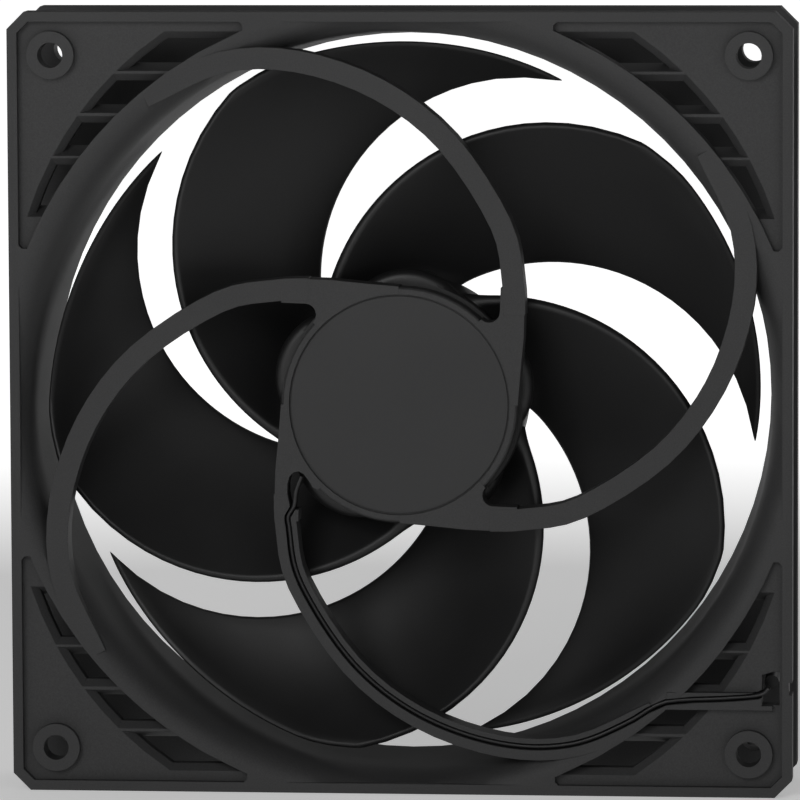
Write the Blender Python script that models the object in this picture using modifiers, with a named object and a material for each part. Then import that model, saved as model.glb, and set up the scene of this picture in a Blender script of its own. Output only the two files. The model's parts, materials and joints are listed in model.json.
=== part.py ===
"""A 140 mm case fan with a swept-strut frame, a five-blade impeller and its motor.

The fan stands on its bottom edge. Air flows along Y: the front (intake) face is at +Y and the
rear (exhaust) face, which carries the struts, is at -Y. The rotor's axis is the Y axis through
the origin. Dimensions are in millimetres, and MM turns them into metres.
"""

import math

import bmesh
import bpy
from mathutils import Matrix, Vector

MM = 0.001

# Frame
SIDE = 140.0
HALF = SIDE / 2
DEPTH = 25.0
FRONT = DEPTH / 2
REAR = -FRONT
CORNER_CUT = 3.1
FLANGE = 5.0
RIM = 1.8
RIM_INSIDE = HALF - RIM
POCKET = 1.5
POCKET_FLOOR = REAR + POCKET
LIP_R = 72.2
FLARE_R = 71.4
THROAT_R = 66.2
FRONT_BORE_R = 65.1
FLARE_DEPTH = 8.0
FLARE_STEPS = 5
BORE_STEPS = 80
TUBE_WALL = 2.2
HOLE_PITCH = 124.5
HOLE_R = 2.25
BOSS_R = 4.3
POCKET_ARM = 27.7

# Louvre windows in each rear corner: top, dark bottom edge and sloped bottom edge above the axis
LOUVRES = ((65.2, 61.1, 59.4), (57.65, 53.6, 51.9), (50.1, 46.35, 44.2), (42.55, 35.6, 33.3))
LOUVRE_ARC_CENTRE = (6.77, 14.01)
LOUVRE_ARC_R = 61.83
LOUVRE_CHAMFER = 1.25

# Struts: distance from the axis and angle of the middle line of the first one
STRUT_LINE = (
    (26.2, 38.0),
    (30.0, 47.2),
    (37.1, 60.5),
    (47.6, 79.3),
    (56.3, 93.4),
    (63.8, 106.4),
    (68.7, 117.5),
    (71.2, 129.6),
)
STRUT_WIDTH = 3.9
STRUT_DEPTH = 5.0
STRUTS = 4
CHANNEL_STRUT = 2
CHANNEL_SHIFT = 0.45
CHANNEL_WIDTH = 1.15
CHANNEL_FLOOR = REAR + 4.3
FILLET_CENTRE = (16.1, 16.75)
FILLET_R = 1.95
# Outline of the web between a strut and the motor base, up to its fillet
WEB = ((12, 0), (21.2, 0), (21.7, 6), (22.3, 12), (22.45, 17), (21.9, 21.5), (18.2, 21))
# Where the lead comes out of the motor base, beside its wall
LEAD_OPENING = (
    (-20.15, -16.0),
    (-20.1, -14.2),
    (-19.75, -13.0),
    (-19.0, -12.2),
    (-18.1, -12.0),
    (-17.2, -12.5),
    (-16.5, -13.4),
    (-15.7, -14.6),
    (-15.5, -18.9),
    (-19.6, -18.9),
)

# Motor base and the pieces in it
BASE_R = 21.0
BASE_FLOOR = REAR + 2.1
BASE_WALL_TOP = REAR + 4.6
LABEL_R = 19.4
LABEL_THICK = 0.3
LABEL_RECESS = 0.6
TUBE_R = 4.5
TUBE_BORE = 3.6
TUBE_TOP = 6.5
BOARD = (REAR + 3.6, REAR + 4.6)
BOARD_R = 18.6

# Rotor
BLADES = 5
HUB_R = 21.9
HUB_WALL = 1.5
HUB_REAR = REAR + 5.3
HUB_FRONT = FRONT - 1.1
HUB_CAP = 1.6
HUB_ROUND = 2.2
LEADING_ARC = (20.17, 20.57, 36.65)
TRAILING_ARC = (-0.7, 27.63, 40.6)
LEADING_TIP_R = 62.8
TRAILING_TIP_R = 64.4
CORNER_START = 0.88
CORNER_DROP = 1.2
LEADING_Y = 10.8
TRAILING_Y = -5.6
BLADE_CAMBER = 1.6
BLADE_ROOT_THICK = 2.2
BLADE_TIP_THICK = 1.2
BLADE_EDGE = 0.35
LOBE_R = 12.1
LOBE_AT = (11.65, 85.9)
LOBE_TOP = HUB_REAR + 3.2
LOBE_ROUND = 1.5
SHAFT_R = 1.5
BOSS = (HUB_FRONT - HUB_CAP - 3.0, HUB_FRONT - HUB_CAP - 0.05)
BOSS_OUTER_R = 3.4
YOKE_THICK = 1.0
YOKE_HOLE_R = 6.0
YOKE_REAR = HUB_REAR + 0.6
MAGNET = (HUB_REAR + 1.2, 6.5)
MAGNET_THICK = 2.2
CLIP = (REAR + 3.0, REAR + 3.4)
SLEEVE = (REAR + 3.9, 4.6)
SEAL = (5.0, 5.8)

# Stator
POLES = 4
CORE = (-3.5, 4.5)
CORE_R = 16.4
ARM_HALF = 2.5
COIL_SPAN = (7.6, 11.7)

# Lead: four wires lying on edge in the channel, then a round bundle to the connector
LEAD_THICK = 0.75
LEAD = (REAR + 0.5, REAR + 4.1)
CORD_D = 2.6
COIL_CENTRE = (44.0, 30.1)
COIL_MEAN_R = 13.0
FLOOR = -HALF
GAP = 0.3
HOUSING = (12.0, 10.2, 5.8)
CONTACT_PITCH = 2.54

# Colour, roughness, metallic
FINISHES = {
    "frame_plastic": ((0.045, 0.045, 0.047), 0.62, 0.0),
    "blade_plastic": ((0.016, 0.016, 0.017), 0.5, 0.0),
    "label_film": ((0.036, 0.036, 0.037), 0.55, 0.0),
    "steel": ((0.55, 0.55, 0.56), 0.3, 1.0),
    "brass": ((0.72, 0.53, 0.25), 0.3, 1.0),
    "bronze": ((0.45, 0.3, 0.16), 0.45, 1.0),
    "ferrite": ((0.05, 0.05, 0.055), 0.6, 0.0),
    "electrical_steel": ((0.33, 0.33, 0.35), 0.45, 1.0),
    "insulator_plastic": ((0.7, 0.68, 0.6), 0.5, 0.0),
    "copper": ((0.75, 0.32, 0.15), 0.35, 1.0),
    "board": ((0.02, 0.13, 0.05), 0.5, 0.0),
    "chip": ((0.02, 0.02, 0.022), 0.45, 0.0),
    "lead_jacket": ((0.012, 0.012, 0.013), 0.5, 0.0),
    "connector_plastic": ((0.015, 0.015, 0.016), 0.45, 0.0),
}


def clear_scene():
    for obj in list(bpy.data.objects):
        bpy.data.objects.remove(obj, do_unlink=True)


def new_collection(name, parent, hidden=False):
    group = bpy.data.collections.new(name)
    group.hide_render = hidden
    parent.children.link(group)
    return group


def finish(name):
    """The material of that name, made the first time it is asked for."""
    if name in bpy.data.materials:
        return bpy.data.materials[name]
    colour, roughness, metallic = FINISHES[name]
    material = bpy.data.materials.new(name)
    material.use_nodes = True
    shader = material.node_tree.nodes["Principled BSDF"]
    shader.inputs["Base Color"].default_value = (*colour, 1.0)
    shader.inputs["Roughness"].default_value = roughness
    shader.inputs["Metallic"].default_value = metallic
    return material


def polar(radius, degrees):
    angle = math.radians(degrees)
    return Vector((radius * math.cos(angle), radius * math.sin(angle)))


def turned_2d(point, degrees):
    """The point turned about the origin of its plane."""
    return Matrix.Rotation(math.radians(degrees), 2) @ Vector(point)


def arc(centre, radius, start, end, steps):
    """Points along an arc, angles in degrees, both ends included."""
    angles = [start + (end - start) * i / steps for i in range(steps + 1)]
    return [Vector(centre) + polar(radius, a) for a in angles]


def smooth_line(points, per_span):
    """A Catmull-Rom curve through the points."""
    ends = [2 * points[0] - points[1], *points, 2 * points[-1] - points[-2]]
    found = []
    for i in range(len(points) - 1):
        a, b, c, d = ends[i : i + 4]
        for step in range(per_span):
            t = step / per_span
            bend = (2 * a - 5 * b + 4 * c - d) * t * t + (3 * b - a - 3 * c + d) * t**3
            found.append(0.5 * (2 * b + (c - a) * t + bend))
    return [*found, points[-1]]


def band(line, left, right):
    """The outline of a strip along a line, from `right` of it to `left` of it."""
    sides = [[], []]
    for i, point in enumerate(line):
        along = (line[min(i + 1, len(line) - 1)] - line[max(i - 1, 0)]).normalized()
        across = Vector((-along.y, along.x))
        sides[0].append(point + across * left)
        sides[1].append(point - across * right)
    return sides[0] + sides[1][::-1]


def add(obj, group, material=None):
    group.objects.link(obj)
    if material:
        obj.data.materials.clear()
        obj.data.materials.append(finish(material))
    else:
        obj.display_type = "WIRE"
        obj.hide_render = True
    return obj


# Drawn X and Y become X and Z, and the extrusion runs along Y.
UPRIGHT = Matrix(((1, 0, 0, 0), (0, 0, 1, 0), (0, 1, 0, 0), (0, 0, 0, 1)))
# Drawn X becomes -Z, drawn Y stays, and the extrusion runs out along X.
OUTWARDS = Matrix(((0, 0, 1, 0), (0, 1, 0, 0), (-1, 0, 0, 0), (0, 0, 0, 1)))
# Profile plane to the object's: the profile's Z becomes Y.
ON_AXIS = Matrix.Rotation(math.radians(-90), 4, "X")


def flat_shape(name, outlines, low, high, group, material=None, place=UPRIGHT):
    """A plate with the outlines, the first outside and the others holes, from low to high."""
    curve = bpy.data.curves.new(name, "CURVE")
    curve.dimensions = "2D"
    curve.fill_mode = "BOTH"
    curve.extrude = abs(high - low) / 2 * MM
    for outline in outlines:
        spline = curve.splines.new("POLY")
        spline.points.add(len(outline) - 1)
        for target, point in zip(spline.points, outline):
            target.co = (point[0] * MM, point[1] * MM, 0, 1)
        spline.use_cyclic_u = True
    guide = bpy.data.objects.new(name, curve)
    mesh = bpy.data.meshes.new_from_object(guide)
    bpy.data.objects.remove(guide)
    mesh.transform(place @ Matrix.Translation((0, 0, (low + high) / 2 * MM)))
    weld(mesh)
    return add(bpy.data.objects.new(name, mesh), group, material)


def weld(mesh):
    shape = bmesh.new()
    shape.from_mesh(mesh)
    bmesh.ops.remove_doubles(shape, verts=shape.verts, dist=1e-6)
    bmesh.ops.recalc_face_normals(shape, faces=shape.faces)
    shape.to_mesh(mesh)
    shape.free()


def turned(name, profile, group, material=None, steps=64):
    """A profile of (radius, y) points, outer side from +Y to -Y, turned about the Y axis."""
    mesh = bpy.data.meshes.new(name)
    verts = [(r * MM, 0, y * MM) for r, y in profile]
    edges = [(i, i + 1) for i in range(len(verts) - 1)]
    if profile[0][0] > 0:
        edges.append((len(verts) - 1, 0))
    mesh.from_pydata(verts, edges, [])
    obj = add(bpy.data.objects.new(name, mesh), group, material)
    obj.matrix_world = ON_AXIS
    screw = obj.modifiers.new("turn", "SCREW")
    screw.steps = steps
    screw.render_steps = steps
    screw.use_merge_vertices = True
    screw.merge_threshold = 1e-6
    screw.use_smooth_shade = False
    return obj


def ring(name, outer, inner, low, high, group, material=None, steps=64):
    profile = [(outer, high), (outer, low), (inner, low), (inner, high)]
    return turned(name, profile, group, material, steps)


def disc(name, radius, low, high, group, material=None, steps=64):
    return turned(name, [(0, high), (radius, high), (radius, low), (0, low)], group, material, steps)


def block(name, low, high, group, material=None):
    shape = bmesh.new()
    bmesh.ops.create_cube(shape, size=1)
    size = [(b - a) * MM for a, b in zip(low, high)]
    middle = [(a + b) / 2 * MM for a, b in zip(low, high)]
    bmesh.ops.scale(shape, vec=size, verts=shape.verts)
    bmesh.ops.translate(shape, vec=middle, verts=shape.verts)
    mesh = bpy.data.meshes.new(name)
    shape.to_mesh(mesh)
    shape.free()
    return add(bpy.data.objects.new(name, mesh), group, material)


def boolean(obj, other, operation):
    """Adds a Boolean with an object, or with every object of a collection."""
    change = obj.modifiers.new(operation.lower(), "BOOLEAN")
    change.operation = operation
    if isinstance(other, bpy.types.Collection):
        change.operand_type = "COLLECTION"
        change.collection = other
    else:
        change.object = other
    return change


def spin_y(obj, degrees):
    """Turns an object's mesh about the Y axis, from +X towards +Z."""
    obj.data.transform(Matrix.Rotation(math.radians(-degrees), 4, "Y"))
    return obj


# ---------------------------------------------------------------- frame


def square_outline(half, cut):
    corners = ((half - cut, half), (half, half - cut))
    return [Vector(p) for k in range(4) for p in (turned_2d(c, -90 * k) for c in corners)]


def duct_profile():
    """The duct's wall from the front face to the rear one, which flares like a trumpet."""
    wall = [(FRONT_BORE_R + 0.6, FRONT), (FRONT_BORE_R, FRONT - 0.6)]
    for i in range(FLARE_STEPS + 1):
        turn = math.radians(90) * i / FLARE_STEPS
        radius = THROAT_R + (FLARE_R - THROAT_R) * (1 - math.cos(turn))
        wall.append((radius, REAR + FLARE_DEPTH * (1 - math.sin(turn))))
    return wall


def make_bore(group, cutters):
    """The air's path: the turned duct, cut by the flats just inside the frame's rim."""
    wall = duct_profile()
    profile = [(0, FRONT + 1), (wall[0][0], FRONT + 1), *wall, (FLARE_R, REAR - 1), (0, REAR - 1)]
    bore = turned("bore_cutter", profile, group, steps=BORE_STEPS)
    flats = flat_shape("bore_flats", [square_outline(RIM_INSIDE, 1)], REAR - 2, FRONT + 2, cutters)
    boolean(bore, flats, "INTERSECT")
    return bore


def make_pocket(group, corner):
    start = math.degrees(math.asin(POCKET_ARM / LIP_R))
    outline = arc((0, 0), LIP_R, start, 90 - start, 12)
    outline += [Vector((POCKET_ARM, RIM_INSIDE - 0.6)), Vector((POCKET_ARM + 0.6, RIM_INSIDE))]
    outline += [Vector((RIM_INSIDE - 2, RIM_INSIDE)), Vector((RIM_INSIDE, RIM_INSIDE - 2))]
    outline += [Vector((RIM_INSIDE, POCKET_ARM + 0.6)), Vector((RIM_INSIDE - 0.6, POCKET_ARM))]
    shape = flat_shape(f"pocket_{corner}", [outline], REAR - 1, POCKET_FLOOR, group)
    return spin_y(shape, 90 * corner)


def louvre_outline(top, bottom, grow):
    """One window's edge at a level: the louvre arc outside, the duct's lip inside."""

    def outer(z):
        centre_x, centre_z = LOUVRE_ARC_CENTRE
        return centre_x + math.sqrt((LOUVRE_ARC_R + grow) ** 2 - (z - centre_z) ** 2)

    def inner(z):
        return math.sqrt(LIP_R**2 - z * z)

    top += grow
    levels = [top + (bottom - top) * i / 2 for i in range(3)]
    return [(outer(z), z) for z in levels] + [(inner(z), z) for z in levels[::-1]]


def make_louvre(group, name, louvre, signs):
    """A loft of four sections through the rear flange, with a chamfer on its outer sides."""
    top, dark, ledge = louvre
    floor = REAR + FLANGE
    chamfer_end = POCKET_FLOOR + LOUVRE_CHAMFER
    slope = (dark - ledge) / (floor + 1 - POCKET_FLOOR)
    sections = (
        (REAR - 1, LOUVRE_CHAMFER, ledge),
        (POCKET_FLOOR, LOUVRE_CHAMFER, ledge),
        (chamfer_end, 0, ledge + slope * LOUVRE_CHAMFER),
        (floor + 1, 0, dark),
    )
    shape = bmesh.new()
    rings = []
    for y, grow, bottom in sections:
        outline = [(x * signs[0], y, z * signs[1]) for x, z in louvre_outline(top, bottom, grow)]
        rings.append([shape.verts.new(Vector(point) * MM) for point in outline])
    count = len(rings[0])
    for low, high in zip(rings, rings[1:]):
        for i in range(count):
            shape.faces.new((low[i], low[(i + 1) % count], high[(i + 1) % count], high[i]))
    shape.faces.new(rings[0][::-1])
    shape.faces.new(rings[-1])
    bmesh.ops.recalc_face_normals(shape, faces=shape.faces)
    mesh = bpy.data.meshes.new(name)
    shape.to_mesh(mesh)
    shape.free()
    return add(bpy.data.objects.new(name, mesh), group)


def strut_points():
    return smooth_line([polar(r, a) for r, a in STRUT_LINE], 4)


def make_strut(group, number, clip):
    """One curved strut, with the web that joins it to the motor base."""
    half = STRUT_WIDTH / 2
    outline = band(strut_points(), half, half)
    strut = flat_shape(f"strut_{number}", [outline], REAR + 0.03, REAR + STRUT_DEPTH, group)
    web = [Vector(p) for p in WEB]
    web += arc(FILLET_CENTRE, FILLET_R, 0, -135, 6) + [Vector((13, 14))]
    root = flat_shape(f"strut_web_{number}", [web], REAR + 0.06, REAR + STRUT_DEPTH - 0.03, group)
    for shape in (strut, root):
        spin_y(shape, 90 * number)
    boolean(strut, clip, "INTERSECT")


def channel_points():
    """The middle line of the lead's channel, from the motor base to the hole in the corner."""
    line = [turned_2d(p, 90 * CHANNEL_STRUT) for p in strut_points()]
    inner = band(line, CHANNEL_SHIFT, -CHANNEL_SHIFT)[: len(line)]
    start = [Vector((-17.7, -13.0)), Vector((-18.7, -15.6)), Vector((-19.1, -18.4))]
    run = [Vector((47.5, -53.0)), Vector((57.3, -52.3)), Vector((64.0, -51.7)), Vector((65.8, -50.5))]
    kept = [p for p in inner if p.length > 28.5 and p.x < 43.0]
    return smooth_line(start + kept + run, 2)


def make_frame(parts, cutters):
    outline = square_outline(HALF, CORNER_CUT)
    frame = flat_shape("frame", [outline], REAR, REAR + FLANGE, parts, "frame_plastic")
    shell = new_collection("frame_shell", cutters)
    flat_shape("front_flange", [outline], FRONT - FLANGE, FRONT, shell)
    outside = [(0, FRONT - 0.5), (FRONT_BORE_R + TUBE_WALL, FRONT - 0.5), (THROAT_R + TUBE_WALL, 0)]
    outside += [(THROAT_R + TUBE_WALL, REAR + FLARE_DEPTH), (THROAT_R + 3.4, REAR + 5.5)]
    outside += [(LIP_R - 0.3, REAR + 0.5), (0, REAR + 0.5)]
    tube = turned("duct_tube", outside, shell, steps=BORE_STEPS)
    sides = flat_shape("tube_sides", [square_outline(HALF - 0.05, CORNER_CUT)], REAR - 1, FRONT + 1, cutters)
    boolean(tube, sides, "INTERSECT")
    boolean(frame, shell, "UNION")

    openings = new_collection("frame_openings", cutters)
    make_bore(openings, cutters)
    for corner in range(4):
        make_pocket(openings, corner)
    boolean(frame, openings, "DIFFERENCE")

    joined = new_collection("frame_joined", cutters)
    clip = disc("strut_clip", LIP_R - 0.1, REAR - 1, 0, cutters, steps=96)
    for number in range(STRUTS):
        make_strut(joined, number, clip)
    for sx in (-1, 1):
        for sz in (-1, 1):
            boss = disc(f"boss_{sx}_{sz}", BOSS_R, REAR + 0.02, REAR + FLANGE - 1, joined, steps=28)
            boss.location = (sx * HOLE_PITCH / 2 * MM, 0, sz * HOLE_PITCH / 2 * MM)
    motor_base = [(0, BASE_WALL_TOP), (BASE_R, BASE_WALL_TOP), (BASE_R, REAR + 0.4)]
    motor_base += [(BASE_R - 0.3, REAR + 0.1), (0, REAR + 0.1)]
    turned("motor_base", motor_base, joined, steps=60)
    boolean(frame, joined, "UNION")

    cuts = new_collection("frame_cuts", cutters)
    disc("motor_cavity", BASE_R - 1.4, BASE_FLOOR, REAR + STRUT_DEPTH + 1, cuts, steps=60)
    for row, louvre in enumerate(LOUVRES):
        for sx in (-1, 1):
            for sz in (-1, 1):
                make_louvre(cuts, f"louvre_{row}_{sx}_{sz}", louvre, (sx, sz))
    return frame, cuts


def cut_frame_details(frame, cuts, cutters):
    """The screw holes, the motor's recesses and the lead's way out."""
    boolean(frame, cuts, "DIFFERENCE")
    added = new_collection("frame_added", cutters)
    block("lead_trough", (47.6, REAR + 0.04, -54.3), (66.5, REAR + FLANGE - 0.5, -51.2), added)
    disc("bearing_tube", TUBE_R, BASE_FLOOR - 0.5, TUBE_TOP, added, steps=40)
    boolean(frame, added, "UNION")

    details = new_collection("frame_details", cutters)
    for sx in (-1, 1):
        for sz in (-1, 1):
            hole = disc(f"screw_hole_{sx}_{sz}", HOLE_R, REAR - 1, FRONT + 1, details, steps=24)
            hole.location = (sx * HOLE_PITCH / 2 * MM, 0, sz * HOLE_PITCH / 2 * MM)
    disc("label_recess", LABEL_R + 0.35, REAR - 1, REAR + 0.1 + LABEL_RECESS, details, steps=60)
    disc("bearing_bore", TUBE_BORE, BASE_FLOOR, TUBE_TOP + 1, details, steps=40)

    half = CHANNEL_WIDTH / 2
    flat_shape("lead_channel", [band(channel_points(), half, half)], REAR - 1, CHANNEL_FLOOR, details)
    flat_shape("lead_opening", [LEAD_OPENING], REAR - 1, REAR + STRUT_DEPTH + 1, details)
    notch = block("lead_notch", (16.5, BASE_FLOOR + 0.02, -2.1), (22.6, BASE_FLOOR + 1.5, 2.1), details)
    spin_y(notch, 216.2)
    exit_hole = [(64.6, -53.5), (67.7, -53.5), (67.7, -47.6), (66.6, -47.5), (64.6, -48.1)]
    flat_shape("lead_exit", [exit_hole], REAR - 1, REAR + FLANGE + 1, details)
    block("rim_notch", (69.4, REAR - 1, -51.5), (71, REAR + FLANGE + 1, -49.3), details)
    front_notch = [(64.6, -49.9), (68.4, -49.9), (68.4, -46.1), (64.6, -46.1)]
    flat_shape("front_lead_notch", [front_notch], FRONT - FLANGE - 1, FRONT + 1, details)
    boolean(frame, details, "DIFFERENCE")


# ---------------------------------------------------------------- rotor


def edge_angle(edge, radius):
    """Where an edge's arc, drawn in the plane of rotation, is that far from the axis."""
    centre = Vector(edge[:2])
    distance = centre.length
    cosine = (radius**2 + distance**2 - edge[2] ** 2) / (2 * radius * distance)
    return math.degrees(math.atan2(centre.y, centre.x) + math.acos(max(-1, min(1, cosine))))


def blade_point(along, across):
    """A point of the blade's middle surface: 0 to 1 from leading to trailing edge, and root to tip."""
    tip = LEADING_TIP_R + (TRAILING_TIP_R - LEADING_TIP_R) * along**0.7
    tip -= CORNER_DROP * max(0, (along - CORNER_START) / (1 - CORNER_START)) ** 2
    root = HUB_R - 1.0
    radius = root + (tip - root) * across
    start = edge_angle(LEADING_ARC, radius)
    end = edge_angle(TRAILING_ARC, radius)
    flat = polar(radius, start + (end - start) * along)
    y = LEADING_Y + (TRAILING_Y - LEADING_Y) * along + BLADE_CAMBER * math.sin(math.pi * along)
    return Vector((flat.x, y, flat.y))


def make_blade(name, number, group, stations=10, chords=8):
    """A loft of the blade's two faces, joined round its edge."""
    shape = bmesh.new()
    grid = []
    for row in range(stations + 1):
        across = row / stations
        line = []
        for column in range(chords + 1):
            along = 0.5 - 0.5 * math.cos(math.pi * column / chords)
            here = blade_point(along, across)
            step = 0.001
            ahead, behind = min(along + step, 1), max(along - step, 0)
            above, below = min(across + step, 1), max(across - step, 0)
            chord = blade_point(ahead, across) - blade_point(behind, across)
            span = blade_point(along, above) - blade_point(along, below)
            normal = chord.cross(span).normalized()
            thick = BLADE_ROOT_THICK + (BLADE_TIP_THICK - BLADE_ROOT_THICK) * across
            half = max(BLADE_EDGE, thick / 2 * math.sin(math.pi * (0.08 + 0.84 * along)) ** 0.5)
            line.append([shape.verts.new((here + normal * half * side) * MM) for side in (-1, 1)])
        grid.append(line)
    for row in range(stations):
        for column in range(chords):
            a, b = grid[row][column], grid[row][column + 1]
            d, c = grid[row + 1][column], grid[row + 1][column + 1]
            shape.faces.new((a[0], b[0], c[0], d[0]))
            shape.faces.new((d[1], c[1], b[1], a[1]))
    border = [(0, c) for c in range(chords)] + [(r, chords) for r in range(stations)]
    border += [(stations, c) for c in range(chords, 0, -1)] + [(r, 0) for r in range(stations, 0, -1)]
    for (r1, c1), (r2, c2) in zip(border, border[1:] + border[:1]):
        a, b = grid[r1][c1], grid[r2][c2]
        shape.faces.new((a[0], a[1], b[1], b[0]))
    bmesh.ops.recalc_face_normals(shape, faces=shape.faces)
    mesh = bpy.data.meshes.new(name)
    shape.to_mesh(mesh)
    shape.free()
    return spin_y(add(bpy.data.objects.new(name, mesh), group), number * 360 / BLADES)


def make_lobe(name, number, group):
    """The round bulge of the hub's rim where a blade grows out of it."""
    round_start = HUB_REAR + LOBE_ROUND
    profile = [(0, LOBE_TOP), (LOBE_R, LOBE_TOP), (LOBE_R, round_start)]
    profile += [(LOBE_R - LOBE_ROUND, HUB_REAR), (0, HUB_REAR)]
    lobe = turned(name, profile, group, steps=48)
    x, z = polar(LOBE_AT[0], LOBE_AT[1] + number * 360 / BLADES)
    lobe.location = (x * MM, 0, z * MM)


def make_impeller(parts, cutters):
    inside = HUB_R - HUB_WALL
    centre = (HUB_R - 0.2 - HUB_ROUND, HUB_FRONT - HUB_ROUND)
    corner = arc(centre, HUB_ROUND, 90, 0, 4)
    profile = [(0, HUB_FRONT), *corner, (HUB_R, HUB_REAR), (inside, HUB_REAR)]
    profile += [(inside, HUB_FRONT - HUB_CAP), (0, HUB_FRONT - HUB_CAP)]
    impeller = turned("impeller", profile, parts, "blade_plastic", steps=60)
    blades = new_collection("blades", cutters)
    for number in range(BLADES):
        make_blade(f"blade_{number}", number, blades)
        make_lobe(f"lobe_{number}", number, blades)
    boolean(impeller, blades, "UNION")
    # The blades reach through the hub's wall, so its inside is turned again.
    hollow = disc("hub_hollow", inside, HUB_REAR - 2, HUB_FRONT - HUB_CAP, cutters, steps=60)
    boolean(impeller, hollow, "DIFFERENCE")
    return impeller


def make_rotor_pieces(parts):
    inside = HUB_R - HUB_WALL
    yoke_top = HUB_FRONT - HUB_CAP - GAP
    outer = inside - 0.1
    inner = outer - YOKE_THICK
    under = yoke_top - YOKE_THICK
    yoke = [(YOKE_HOLE_R, yoke_top), (outer, yoke_top), (outer, YOKE_REAR), (inner, YOKE_REAR)]
    yoke += [(inner, under), (YOKE_HOLE_R, under)]
    magnet_r = inner - 0.1
    return [
        turned("rotor_yoke", yoke, parts, "steel", steps=48),
        ring("rotor_magnet", magnet_r, magnet_r - MAGNET_THICK, *MAGNET, parts, "ferrite", 48),
        disc("shaft", SHAFT_R, BASE_FLOOR + 0.6, BOSS[1] - 0.1, parts, "steel", 32),
        ring("shaft_boss", BOSS_OUTER_R, SHAFT_R + 0.05, *BOSS, parts, "brass", 32),
        ring("retaining_clip", 2.6, SHAFT_R + 0.05, *CLIP, parts, "steel", 32),
    ]


# ---------------------------------------------------------------- stator and electrics


def make_bearing(parts):
    ring("bearing_sleeve", TUBE_BORE - 0.05, SHAFT_R + 0.06, *SLEEVE, parts, "bronze", 32)
    ring("oil_seal", TUBE_BORE - 0.05, SHAFT_R + 0.3, *SEAL, parts, "insulator_plastic", 32)
    disc("thrust_plate", TUBE_BORE - 0.2, BASE_FLOOR + 0.05, BASE_FLOOR + 0.5, parts, "insulator_plastic", 40)


def pole_outline(core_r, shoe_inner, shoe_half, arm_half, hub_r):
    """The outline of a hub with four arms, each ending in a curved shoe."""
    outline = []
    arm_at_hub = math.degrees(math.asin(arm_half / hub_r))
    arm_at_shoe = math.degrees(math.asin(arm_half / shoe_inner))
    for pole in range(POLES):
        middle = 360 / POLES * pole
        outline.append(polar(hub_r, middle - arm_at_hub))
        outline.append(polar(shoe_inner, middle - arm_at_shoe))
        outline.append(polar(shoe_inner, middle - shoe_half))
        outline += arc((0, 0), core_r, middle - shoe_half, middle + shoe_half, 8)
        outline.append(polar(shoe_inner, middle + shoe_half))
        outline.append(polar(shoe_inner, middle + arm_at_shoe))
        outline.append(polar(hub_r, middle + arm_at_hub))
        outline += arc((0, 0), hub_r, middle + arm_at_hub + 10, middle + 360 / POLES - arm_at_hub - 10, 3)
    return outline


def make_stator(parts, cutters):
    bore = arc((0, 0), TUBE_R + 0.1, 360, 15, 23)
    outline = pole_outline(CORE_R, 14.6, 36, ARM_HALF, 6.8)
    flat_shape("stator_core", [outline, bore], CORE[0], CORE[1], parts, "electrical_steel")
    arms = pole_outline(14.2, 13.0, 26, ARM_HALF, 6.8)
    for name, low, high, rim_low, rim_high in (
        ("upper_insulator", CORE[1] + 0.05, CORE[1] + 1.05, CORE[1] + 0.1, CORE[1] + 3.6),
        ("lower_insulator", CORE[0] - 1.05, CORE[0] - 0.05, CORE[0] - 3.5, CORE[0] - 0.1),
    ):
        plate = flat_shape(name, [arms, bore], low, high, parts, "insulator_plastic")
        rim = ring(f"{name}_rim", 14.0, 13.0, rim_low, rim_high, cutters, steps=32)
        boolean(plate, rim, "UNION")


def rounded_box(half_x, low, high, corner):
    outline = []
    for cx, cz, start in (
        (half_x - corner, high - corner, 0),
        (corner - half_x, high - corner, 90),
        (corner - half_x, low + corner, 180),
        (half_x - corner, low + corner, 270),
    ):
        outline += arc((cx, cz), corner, start, start + 90, 4)
    return outline


def make_coil(parts, number):
    """A winding round one arm: a rounded ring drawn across the arm and run out along it."""
    outside = rounded_box(ARM_HALF + 2.5, CORE[0] - 3.2, CORE[1] + 3.2, 2.2)
    inside = rounded_box(ARM_HALF + 0.3, CORE[0] - 1.35, CORE[1] + 1.35, 0.4)[::-1]
    outlines = [outside, inside]
    coil = flat_shape(f"coil_{number + 1}", outlines, *COIL_SPAN, parts, "copper", OUTWARDS)
    return spin_y(coil, 90 * number)


def make_board(parts, cutters):
    board = ring("circuit_board", BOARD_R, 5.2, *BOARD, parts, "board", 48)
    pins = new_collection("pin_holes", cutters)
    for number, degrees in enumerate((0, 90, 180)):
        x, z = polar(13.5, degrees)
        for name, radius, low, high, group, material in (
            (f"pin_hole_{number}", 0.6, BOARD[0] - 1, BOARD[1] + 1, pins, None),
            (f"winding_pin_{number + 1}", 0.3, BOARD[0] - 0.5, CORE[0] - 3.55, parts, "brass"),
        ):
            pin = disc(name, radius, low, high, group, material, 16)
            pin.location = (x * MM, 0, z * MM)
    boolean(board, pins, "DIFFERENCE")
    behind = BOARD[0] - 0.05
    for name, radius, degrees, size, material in (
        ("driver_chip", 11.0, 60, (4.0, 1.1, 3.0), "chip"),
        ("capacitor", 11.5, 140, (2.0, 1.0, 1.25), "insulator_plastic"),
        ("resistor", 12.0, 300, (1.6, 0.5, 0.8), "chip"),
    ):
        x, z = polar(radius, degrees)
        low = (x - size[0] / 2, behind - size[1], z - size[2] / 2)
        block(name, low, (x + size[0] / 2, behind, z + size[2] / 2), parts, material)
    x, z = polar(17.2, 45)
    front = BOARD[1] + 0.05
    block("hall_sensor", (x - 0.8, front, z - 0.8), (x + 0.8, front + 0.9, z + 0.8), parts, "chip")


# ---------------------------------------------------------------- lead


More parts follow.
